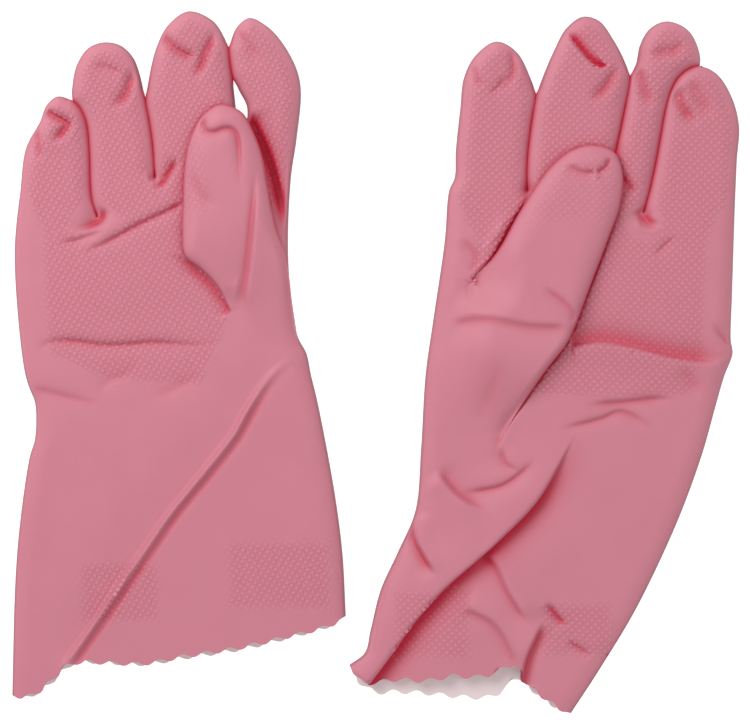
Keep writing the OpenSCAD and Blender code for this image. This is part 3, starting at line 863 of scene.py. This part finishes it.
def buildThumbSurface(glove, points, fine):
    # the thumb lies folded over the palm: a closed stall whose root melts into the palm's surface
    thumb = glove["thumb"]
    line = throughPoints(thumb["left"] + [thumb["tip"]] + thumb["right"])
    cut = len(thumb["left"]) * spanPoints
    left, right = line[:cut + 1], line[cut:][::-1]
    length = (lengthsOf(left)[-1] + lengthsOf(right)[-1]) / 2
    rowCount = evenCount(length / weave["rowStep"])
    left, right = (alongLine(r, np.linspace(0, lengthsOf(r)[-1], rowCount + 1)) for r in (left, right))
    xy = left[:, None] + (right - left)[:, None] * columnPlaces(weave["thumbColumns"])[None, :, None]
    flat = xy.reshape(-1, 2)
    crotch = thumb["crotch"] * spanPoints
    chord = line[0] + (line[-1] - line[0]) * np.linspace(0, 1, 40)[:, None]
    shape = xy.shape[:2]
    fromSide = nearest(flat, line[:crotch + 1])[0].reshape(shape)
    fromFoot = nearest(flat, chord)[0].reshape(shape)
    gap = nearest(flat, line[crotch:])[0].reshape(shape)
    gap[-1] = 0
    tree = BVHTree.FromPolygons([tuple(p) for p in points], [tuple(f) for g in fine for f in g.tolist()])
    palm = lay["edge"] * restHeight(flat)
    for n, (x, y) in enumerate(flat):
        hit = tree.ray_cast((x, y, 90.0), (0, 0, -1))[0]
        if hit:
            palm[n] = hit[2]
    palm = palm.reshape(shape)
    rise = ease(fromSide / thumb["rise"][0]) * ease(fromFoot / thumb["rise"][1])
    low = palm - thumbLay["sunk"]
    edge = low + (thumbLay["edge"] - low) * rise
    high = low + (thumbLay["top"] - low) * rise
    turn = thumbLay["round"]
    turn = turn[0] + (turn[1] - turn[0]) * ease((np.arange(rowCount + 1) / rowCount - 0.3) / 0.35)
    over = edge + (high - edge) * quarter(gap / turn[:, None])
    deep = palm - thumbLay["deepSunk"]
    lifted = np.maximum(thumbLay["under"], palm + 0.5) - deep
    under = deep + lifted * ease(fromSide / 9) * ease(fromFoot / 9)
    under = edge - (edge - under) * quarter(gap / 8)
    movedXY, pressed, fold = pressCreases(xy, over, np.zeros_like(over), glove["thumbCreases"])
    keep = ease(gap / 3) * ease((fromSide - 2) / 8) * ease((fromFoot - 2) / 8)
    over = over + (pressed - over) * keep
    topXY = xy + (movedXY - xy) * keep[..., None]
    under = np.minimum(under, over - (1.3 + 1.1 * rise) * quarter(gap / 6))
    count = xy.shape[0] * xy.shape[1]
    top = np.arange(count).reshape(shape)
    top[-1] = top[-1, 0]
    back = np.arange(count, 2 * count).reshape(shape)
    back[:, 0], back[:, -1], back[-1] = top[:, 0], top[:, -1], top[-1]
    made = np.zeros((2 * count, 3))
    marks = np.zeros((2 * count, 4))
    sinks = np.zeros(2 * count)
    spare = over - under - 2.2 * (0.35 + 0.65 * rise) * quarter(gap / 6)
    sinks[top] = np.clip(underDips(over), 0, np.maximum(spare, 0))
    made[back] = np.concatenate([xy, under[..., None]], -1)
    made[top] = np.concatenate([topXY, over[..., None]], -1)
    mask = thumbGrip(glove, xy, gap)
    # painted shade: a dark crimson line along the thumb's free edge, carried in the fold mark
    turned = 0.9 * np.exp(-(gap / lay["rim"]) ** 2) * ease((rise - 0.12) / 0.35)
    marks[top] = np.stack([np.maximum(fold * keep, turned), mask, np.zeros_like(mask), ease(gap / 1.2)], -1)
    room = np.minimum(0.35 + 0.65 * rise, (over - under) / 4.5)
    room[:, 0], room[:, -1], room[-1] = room[:, 1], room[:, -2], room[-2]
    thin = np.ones(2 * count)
    thin[back] = thin[top] = np.maximum(room, 0.04)
    faces = gridFaces(top, 1, False) + gridFaces(back, 1, True)
    return top, back, made, vertexNormals(made, faces), marks, sinks, thin


def thumbGrip(glove, xy, gap):
    grip = glove["grip"]["thumb"]
    across = np.interp(xy[..., 1], [p[0] for p in grip["side"]], [p[1] for p in grip["side"]])
    along = ease((xy[..., 1] - grip["from"]) / 8 + 0.5) * ease((grip["to"] - xy[..., 1]) / 8 + 0.5)
    return 0.6 * ease((across - xy[..., 0]) / 6 + 0.5) * ease((gap - grip["margin"]) / 1.5) * along


def closedFoot(top, back, outer, inner):
    # the sunk end of the thumb's root
    rows = back[0] + outer, top[0] + outer
    five = np.stack([rows[0][:-2:2], rows[0][2::2], rows[1][2::2], rows[1][1:-1:2], rows[1][:-2:2]], -1)
    four = np.stack([back[0][:-2:2], back[0][2::2], top[0][2::2], top[0][:-2:2]], -1) + inner
    return [five, four[:, ::-1]]


def buildGlove(glove):
    side = glove["side"]
    place = np.array([*hinges[f"{side}_cuff_fold"]["pos_m"][:2], 0]) / mm
    strips, tops, backs, points, normals, marks, sinks, fine = buildPalmSurface(glove)
    tTop, tBack, tPoints, tNormals, tMarks, tSinks, tThin = buildThumbSurface(glove, points, fine)
    outside = film["thick"] + film["bond"]
    layers = {"film": (0.0, film["thick"]), "lining": (outside, outside + film["lining"])}
    down = np.array([0, 0, 1.0])
    cuffAt, cuffWay = joinHinge(f"{side}_cuff_fold")
    cuffStart = cuffAt + 3 * cuffWay - place
    cuffRow = max(splitRow((s["top"], s["back"]), cuffStart, cuffWay, True) for s in strips)
    thumbAt, thumbWay = joinHinge(f"{side}_thumb_lift")
    thumbXY = tPoints[tTop][..., :2]
    thumbRow = splitRow((thumbXY,), thumbAt - 4 * thumbWay - place, thumbWay, False)
    tipRows, bends = [], []
    for f, strip in zip(glove["fingers"], strips):
        at, way = joinHinge(f"{side}_{f['name']}_curl")
        bends.append((at, way))
        row = splitRow((strip["top"], strip["back"]), at - 12 * way - place, way, False)
        tipRows.append(row)
    made = {}
    for layer, (outerIn, innerIn) in layers.items():
        shell = Shell()
        drop, tDrop = sinks[:, None] * down, tSinks[:, None] * down
        thin = tThin[:, None]
        first = 0 if layer == "film" else 1
        outer = shell.add(points + place - normals * outerIn - drop * first, normals, marks)
        inner = shell.add(points + place - normals * innerIn - drop, -normals, marks)
        tOuter = shell.add(tPoints + place - tNormals * outerIn * thin - tDrop * first, tNormals, tMarks)
        tInner = shell.add(tPoints + place - tNormals * innerIn * thin - tDrop, -tNormals, tMarks)
        coarse = layer == "lining"
        hand, cuff = [], []
        for i, (top, back) in enumerate(zip(tops, backs)):
            opens = [(lambda k, s=s: s is None or k >= s) for s in strips[i]["split"]]
            parts = ((cuff, 0, cuffRow, (0, -1)), (hand, cuffRow, tipRows[i], (0, -1)))
            for faces, lo, hi, ends in parts:
                cutEnds = [(e, e == 0) for e in ends]
                faces += layerFaces(top[lo:hi + 1], back[lo:hi + 1], (outer, inner),
                                    lambda k, o=opens[0], lo=lo: o(k + lo),
                                    lambda k, o=opens[1], lo=lo: o(k + lo), coarse, cutEnds)
            row = tipRows[i]
            faces = layerFaces(top[row:], back[row:], (outer, inner), lambda k: True, lambda k: True,
                               coarse, [(0, True)])
            name = f"{side}_{glove['fingers'][i]['name']}"
            piece = shell.make(f"{side}{glove['fingers'][i]['name'].capitalize()}{layer.capitalize()}", faces)
            bendBetween(piece, side, glove["fingers"][i]["name"], *bends[i], -12, 12)
            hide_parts(f"{name}_{layer}")
            made[piece.name] = piece
        hand += layerFaces(tTop[:thumbRow + 1], tBack[:thumbRow + 1], (tOuter, tInner),
                           lambda k: True, lambda k: True, coarse, [(-1, False)])
        foot = closedFoot(tTop, tBack, tOuter, tInner)
        if coarse:
            foot[0] = foot[0][:, [0, 1, 2, 4]]
        hand += foot
        thumb = layerFaces(tTop[thumbRow:], tBack[thumbRow:], (tOuter, tInner), lambda k: True,
                           lambda k: True, coarse, [(0, True)])
        word = layer.capitalize()
        piece = shell.make(f"{side}Hand{word}", hand)
        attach(piece, f"{side}_hand")
        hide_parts(f"{side}_hand_{layer}", f"{side}_finger_roots_{layer}")
        made[piece.name] = piece
        piece = shell.make(f"{side}Cuff{word}", cuff)
        bendBetween(piece, side, "cuff", cuffAt, cuffWay, 3, 38)
        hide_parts(f"{side}_cuff_{layer}")
        made[piece.name] = piece
        piece = shell.make(f"{side}Thumb{word}", thumb)
        bendBetween(piece, side, "thumb", thumbAt, thumbWay, -4, 16)
        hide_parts(f"{side}_thumb_{layer}")
        made[piece.name] = piece
    say(f"{side} glove: cuff row {cuffRow}, thumb row {thumbRow}, finger rows {tipRows}")
    return made


rightGlove["grip"] = {
    "palmMargin": 13.5, "fingerMargin": 4.0, "fingersFrom": 92, "soft": 6.0,
    "lower": [(-60, 31), (-47, 27), (-32, 19.5), (14, 16)],
    "end": [(12, 16), (15, 25), (25.5, 50), (80, 56)],
    "patches": [((-42, -89), (-7.6, -63)), ((24, -83), (69, -54))],
    "thumb": {"side": [(90, 17), (130, 12.5)], "from": 92, "to": 127, "margin": 1.0},
}
leftGlove["grip"] = {
    "palmMargin": 13.0, "fingerMargin": 4.0, "fingersFrom": 92, "soft": 4.0,
    "lower": [(-60, 14), (80, 14)],
    "end": [(90, 0), (90, 200)],
    "patches": [((-76.5, -103.5), (-43.2, -73.7)), ((-10.7, -102.2), (19.6, -79.5))],
    "thumb": {"side": [(60, 16), (130, 26)], "from": 90, "to": 118, "margin": 3.5},
}

say("frame loaded")
gloves = {g["side"]: buildGlove(g) for g in (rightGlove, leftGlove)}


def node(tree, kind, **settings):
    made = tree.nodes.new(kind)
    for key, value in settings.items():
        setattr(made, key, value)
    return made


def feed(tree, made, values):
    # sets a node's inputs, by number or name, from plain values or other nodes' outputs
    for slot, value in values.items():
        if isinstance(value, bpy.types.NodeSocket):
            tree.links.new(value, made.inputs[slot])
        else:
            made.inputs[slot].default_value = value
    return made


def sum2(tree, kind, a, b=None, clamp=False):
    made = node(tree, "ShaderNodeMath", operation=kind, use_clamp=clamp)
    return feed(tree, made, {0: a} if b is None else {0: a, 1: b}).outputs[0]


def markOf(tree, name):
    return node(tree, "ShaderNodeAttribute", attribute_name=name).outputs["Fac"]


def mixColour(tree, factor, a, b):
    return feed(tree, node(tree, "ShaderNodeMix", data_type="RGBA"), {0: factor, 6: a, 7: b}).outputs[2]


def creaseShade():
    # how deep in a fold a point lies, 0 to 1, from the pressed creases and from how closed in it is; it
    # weighs the painted shade in folds
    group = bpy.data.node_groups.new("creaseShade", "ShaderNodeTree")
    for label, value in (("Reach", 0.008), ("Creases", 0.62), ("Closeness", 1.5)):
        socket = group.interface.new_socket(label, in_out="INPUT", socket_type="NodeSocketFloat")
        socket.default_value = value
    group.interface.new_socket("Depth", in_out="OUTPUT", socket_type="NodeSocketFloat")
    given, out = node(group, "NodeGroupInput").outputs, node(group, "NodeGroupOutput")
    near = node(group, "ShaderNodeAmbientOcclusion", samples=8)
    feed(group, near, {"Distance": given["Reach"]})
    closed = sum2(group, "SUBTRACT", 0.88, near.outputs["AO"], True)
    closed = sum2(group, "MULTIPLY", closed, given["Closeness"])
    seen = sum2(group, "MAXIMUM", markOf(group, "palmSide"), markOf(group, "raised"))
    closed = sum2(group, "MULTIPLY", closed, seen)
    pressed = sum2(group, "MULTIPLY", markOf(group, "fold"), given["Creases"])
    feed(group, out, {"Depth": sum2(group, "ADD", closed, pressed, True)})
    return group


shared = {"creaseShade": creaseShade()}

rubber = {
    "colour": (0.575, 0.192, 0.250, 1),
    "pale": (0.612, 0.215, 0.276, 1),
    "clouds": 60,       # how fine the two mix
    "crest": (0.605, 0.222, 0.284, 1),  # the grip's diamonds, painted lighter: a painted highlight on their tops
    "groove": (0.50, 0.128, 0.180, 1),  # painted shade between the grip's diamonds
    "grooveShade": 0.16,
    "deep": (0.47, 0.018, 0.050, 1),    # painted shade in folds
    "tight": (0.20, 0.003, 0.008, 1),   # painted shade in the tightest folds
    # painted shade along the side folds
    "rim": (0.24, 0.075, 0.095, 1),
    "paintedGlowColour": (1.0, 0.03, 0.09, 1),      # painted glow in folds: given off where the painted fold shade is deep
    "lit": 0.11,
    "roughness": 0.55,
    "shine": 0.3,
    "grain": 900,
    "grainDeep": 0.0002,
}


def rubberMaterial():
    made = bpy.data.materials.new("pinkRubber")
    made.use_nodes = True
    tree = made.node_tree
    where = node(tree, "ShaderNodeTexCoord").outputs["Object"]
    cloud = feed(tree, node(tree, "ShaderNodeTexNoise"),
                 {"Vector": where, "Scale": rubber["clouds"], "Detail": 3})
    base = mixColour(tree, cloud.outputs["Fac"], rubber["colour"], rubber["pale"])
    # painted shade: darker film between the diamonds, as strong as the grip mark
    groove = sum2(tree, "MULTIPLY", markOf(tree, "grip"), rubber["grooveShade"])
    base = mixColour(tree, groove, base, rubber["groove"])
    # painted highlight: the diamonds lighter, as if their tops catch the light
    base = mixColour(tree, markOf(tree, "raised"), base, rubber["crest"])
    # painted shade: folds and closed-in places mixed towards a dark crimson
    paintedFoldShade = node(tree, "ShaderNodeGroup", node_tree=shared["creaseShade"]).outputs["Depth"]
    shadeTint = mixColour(tree, paintedFoldShade, base, rubber["deep"])
    # painted shade: the deepest fold marks darker still
    tight = sum2(tree, "SUBTRACT", markOf(tree, "fold"), 0.9)
    tight = sum2(tree, "MULTIPLY", tight, 1.1, True)
    shadeTint = mixColour(tree, tight, shadeTint, rubber["tight"])
    # painted shade: a dark line along the side folds
    edge = sum2(tree, "MULTIPLY", markOf(tree, "rim"), 0.8)
    # painted glow: the folds give off light as their painted shade deepens
    glow = sum2(tree, "SUBTRACT", paintedFoldShade, 0.15, True)
    grain = feed(tree, node(tree, "ShaderNodeTexNoise"),
                 {"Vector": where, "Scale": rubber["grain"], "Detail": 2})
    bump = feed(tree, node(tree, "ShaderNodeBump"),
                {"Strength": 0.25, "Distance": rubber["grainDeep"], "Height": grain.outputs["Fac"]})
    feed(tree, tree.nodes["Principled BSDF"], {
        "Base Color": mixColour(tree, edge, shadeTint, rubber["rim"]),
        "Emission Color": mixColour(tree, glow, (0, 0, 0, 1), rubber["paintedGlowColour"]),
        "Emission Strength": rubber["lit"],
        "Normal": bump.outputs["Normal"],
        "Roughness": rubber["roughness"],
        "Specular IOR Level": rubber["shine"]})
    return made


# the lining's emission is a painted glow that evens out its shade
flock = {"colour": (0.70, 0.58, 0.59, 1), "lit": 0.14, "roughness": 0.95, "sheen": 0.3}


def flockMaterial():
    made = bpy.data.materials.new("paleFlock")
    made.use_nodes = True
    tree = made.node_tree
    feed(tree, tree.nodes["Principled BSDF"], {
        "Base Color": flock["colour"], "Emission Color": flock["colour"], "Emission Strength": flock["lit"],
        "Roughness": flock["roughness"], "Sheen Weight": flock["sheen"]})
    return made


pink, pale = rubberMaterial(), flockMaterial()

lattice = {
    "pitch": 3.42,      # from one small diamond to the next
    "half": 1.36,       # half a diamond's width
    "top": 0.74,        # its flat top, as a share of its foot
    "high": 0.2,
    "turn": {"right": 14, "left": -4},  # degrees
    "from": 0.08,       # grip mark above which a diamond stands, lower where the mark is weaker
}


def readMark(tree, name, kind="FLOAT"):
    made = node(tree, "GeometryNodeInputNamedAttribute", data_type=kind)
    return feed(tree, made, {"Name": name}).outputs["Attribute"]


def keepMark(tree, geometry, name, kind, value):
    made = node(tree, "GeometryNodeStoreNamedAttribute", data_type=kind, domain="POINT")
    return feed(tree, made, {"Geometry": geometry, "Name": name, "Value": value}).outputs[0]


def dropOnto(tree, film, name):
    # looks straight down from each point to the film, and reads a mark there
    made = node(tree, "GeometryNodeRaycast", data_type="FLOAT")
    return feed(tree, made, {"Target Geometry": film, "Attribute": readMark(tree, name),
                             "Ray Direction": (0, 0, -1), "Ray Length": 0.2}).outputs


def vectorOf(tree, **parts):
    return feed(tree, node(tree, "ShaderNodeCombineXYZ"), parts).outputs[0]


def changed(tree, geometry, **values):
    made = feed(tree, node(tree, "GeometryNodeTransform"), values)
    return feed(tree, made, {"Geometry": geometry}).outputs[0]


def gripNodes():
    # two square lattices laid over the film make one of diamonds; each diamond drops onto the film
    tree = bpy.data.node_groups.new("diamondGrip", "GeometryNodeTree")
    face = tree.interface
    face.new_socket("Geometry", in_out="INPUT", socket_type="NodeSocketGeometry")
    for label, kind in (("Film", "Object"), ("Material", "Material"), ("Centre", "Vector"),
                        ("Turn", "Float"), ("Across", "Float"), ("Along", "Float"), ("Pitch", "Float"),
                        ("Half", "Float"), ("Top", "Float"), ("High", "Float"), ("Threshold", "Float")):
        face.new_socket(label, in_out="INPUT", socket_type="NodeSocket" + kind)
    face.new_socket("Geometry", in_out="OUTPUT", socket_type="NodeSocketGeometry")
    given, out = node(tree, "NodeGroupInput").outputs, node(tree, "NodeGroupOutput")
    film = feed(tree, node(tree, "GeometryNodeObjectInfo"), {"Object": given["Film"]}).outputs["Geometry"]
    joined = node(tree, "GeometryNodeJoinGeometry")
    for shift in (0.0, 0.5):
        grid = node(tree, "GeometryNodeMeshGrid")
        for side, key in (("X", "Across"), ("Y", "Along")):
            cells = sum2(tree, "ROUND", sum2(tree, "DIVIDE", given[key], given["Pitch"]))
            feed(tree, grid, {"Vertices " + side: sum2(tree, "ADD", cells, 1),
                              "Size " + side: sum2(tree, "MULTIPLY", cells, given["Pitch"])})
        half = sum2(tree, "MULTIPLY", given["Pitch"], shift)
        place = feed(tree, node(tree, "ShaderNodeVectorMath", operation="ADD"),
                     {0: vectorOf(tree, X=half, Y=half), 1: given["Centre"]}).outputs[0]
        tree.links.new(changed(tree, grid.outputs["Mesh"], Translation=place), joined.inputs[0])
    heading = vectorOf(tree, Z=given["Turn"])
    turned = changed(tree, joined.outputs[0], Rotation=heading)
    dots = feed(tree, node(tree, "GeometryNodeMeshToPoints"), {"Mesh": turned}).outputs[0]
    drop = dropOnto(tree, film, "grip")
    marked = keepMark(tree, dots, "up", "FLOAT_VECTOR", drop["Hit Normal"])
    # the diamonds carry the film's fold mark, so the painted fold shade goes on over them
    marked = keepMark(tree, marked, "fold", "FLOAT", dropOnto(tree, film, "fold")["Attribute"])
    # raised also paints the diamonds lighter: painted highlight
    marked = keepMark(tree, marked, "raised", "FLOAT", drop["Attribute"])
    over = feed(tree, node(tree, "FunctionNodeCompare", data_type="FLOAT", operation="GREATER_THAN"),
                {0: drop["Attribute"], 1: given["Threshold"]}).outputs[0]
    missed = feed(tree, node(tree, "FunctionNodeBooleanMath", operation="NAND"),
                  {0: drop["Is Hit"], 1: over}).outputs[0]
    marked = keepMark(tree, marked, "off", "BOOLEAN", missed)
    placed = feed(tree, node(tree, "GeometryNodeSetPosition"),
                  {"Geometry": marked, "Position": drop["Hit Position"]}).outputs[0]
    kept = feed(tree, node(tree, "GeometryNodeDeleteGeometry", domain="POINT"),
                {"Geometry": placed, "Selection": readMark(tree, "off", "BOOLEAN")}).outputs[0]
    pip = node(tree, "GeometryNodeMeshCone")
    feed(tree, pip, {"Vertices": 4, "Radius Bottom": given["Half"],
                     "Radius Top": sum2(tree, "MULTIPLY", given["Half"], given["Top"]),
                     "Depth": sum2(tree, "MULTIPLY", given["High"], 2)})
    sunk = changed(tree, pip.outputs["Mesh"],
                   Translation=vectorOf(tree, Z=sum2(tree, "MULTIPLY", given["High"], -1)))
    turn = feed(tree, node(tree, "FunctionNodeAlignEulerToVector", axis="Z"),
                {"Vector": readMark(tree, "up", "FLOAT_VECTOR"), "Rotation": heading}).outputs[0]
    size = vectorOf(tree, X=1.0, Y=1.0, Z=readMark(tree, "raised"))
    stood = feed(tree, node(tree, "GeometryNodeInstanceOnPoints"),
                 {"Points": kept, "Instance": sunk, "Rotation": turn, "Scale": size}).outputs[0]
    real = feed(tree, node(tree, "GeometryNodeRealizeInstances"), {"Geometry": stood}).outputs[0]
    paint = feed(tree, node(tree, "GeometryNodeSetMaterial"),
                 {"Geometry": real, "Material": given["Material"]}).outputs[0]
    feed(tree, out, {"Geometry": paint})
    return tree


gripTree = gripNodes()
for glove in gloves.values():
    for name, piece in glove.items():
        isFilm = name.endswith("Film")
        piece.data.materials.append(pink if isFilm else pale)
say("materials")


def growGrip(host, name, side):
    corners = np.array([tuple(v.co) for v in host.data.vertices])
    pitch, turn = lattice["pitch"] * mm, math.radians(lattice["turn"][side])
    back = np.array([[math.cos(turn), math.sin(turn)], [-math.sin(turn), math.cos(turn)]])
    laid = corners[:, :2] @ back.T
    lowest, highest = laid.min(0), laid.max(0)
    centre = np.round((lowest + highest) / 2 / pitch) * pitch
    cells = np.ceil((highest - lowest) / 2 / pitch) * 2
    empty = bpy.data.objects.new(name, bpy.data.meshes.new(name))
    bpy.context.scene.collection.objects.link(empty)
    made = empty.modifiers.new("grip", "NODES")
    made.node_group = gripTree
    values = {"Film": host, "Material": pink, "Centre": (centre[0], centre[1], 0.06), "Turn": turn,
              "Across": cells[0] * pitch, "Along": cells[1] * pitch, "Pitch": pitch,
              "Half": lattice["half"] * mm, "Top": lattice["top"], "High": lattice["high"] * mm,
              "Threshold": lattice["from"]}
    for item in gripTree.interface.items_tree:
        if item.item_type == "SOCKET" and item.in_out == "INPUT" and item.name in values:
            made[item.identifier] = values[item.name]
    evaluated = empty.evaluated_get(bpy.context.evaluated_depsgraph_get())
    mesh = bpy.data.meshes.new_from_object(evaluated)
    empty.modifiers.clear()
    empty.data = mesh
    mesh.name = name
    for extra in ("up", "off"):
        if extra in mesh.attributes:
            mesh.attributes.remove(mesh.attributes[extra])
    return empty


for side, pieces in gloves.items():
    for part in ("Hand", "Cuff", "Thumb", "Index", "Middle", "Ring", "Little"):
        grown = growGrip(pieces[f"{side}{part}Film"], f"{side}{part}Grip", side)
        if not len(grown.data.polygons):
            bpy.data.objects.remove(grown)
            continue
        body = f"{side}_{part.lower()}"
        if part == "Hand":
            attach(grown, body)
        else:
            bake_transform(grown)
        say(f"{grown.name}: {len(grown.data.polygons)} faces")

studio = {
    "lens": 115.0,
    "high": 1.074,      # the camera, above the table
    "table": (0.35, 0.35, 0.35, 1),
    "tableGlow": 0.97,
    "air": 0.45,        # light from all round
}
bpy.ops.mesh.primitive_plane_add(size=3, location=(0, 0, 0))
floor = bpy.context.object
floor.name = "floor"
white = bpy.data.materials.new("whiteTable")
white.use_nodes = True
feed(white.node_tree, white.node_tree.nodes["Principled BSDF"], {
    "Base Color": studio["table"], "Roughness": 1.0, "Specular IOR Level": 0.0,
    "Emission Color": (1, 1, 1, 1), "Emission Strength": studio["tableGlow"]})
floor.data.materials.append(white)


def softLight(name, place, size, power):
    data = bpy.data.lights.new(name, "AREA")
    data.shape = "DISK"
    data.size = size
    data.energy = power
    lamp = bpy.data.objects.new(name, data)
    lamp.location = place
    way = mathutils.Vector(place)
    lamp.rotation_euler = way.to_track_quat("Z", "Y").to_euler()
    bpy.context.scene.collection.objects.link(lamp)


softLight("keyLight", (-0.75, 0.8, 1.1), 1.1, 17)
softLight("fillLight", (0.9, -0.4, 1.4), 1.6, 6)
world = bpy.data.worlds.new("studio")
world.use_nodes = True
feed(world.node_tree, world.node_tree.nodes["Background"], {"Color": (1, 1, 1, 1), "Strength": studio["air"]})
bpy.context.scene.world = world

cameraData = bpy.data.cameras.new("camera")
cameraData.lens = studio["lens"]
cameraData.sensor_width = 36
camera = bpy.data.objects.new("camera", cameraData)
camera.location = (0, 0, studio["high"])
bpy.context.scene.collection.objects.link(camera)
bpy.context.scene.camera = camera
bpy.context.scene.view_settings.view_transform = "Standard"
say("studio")
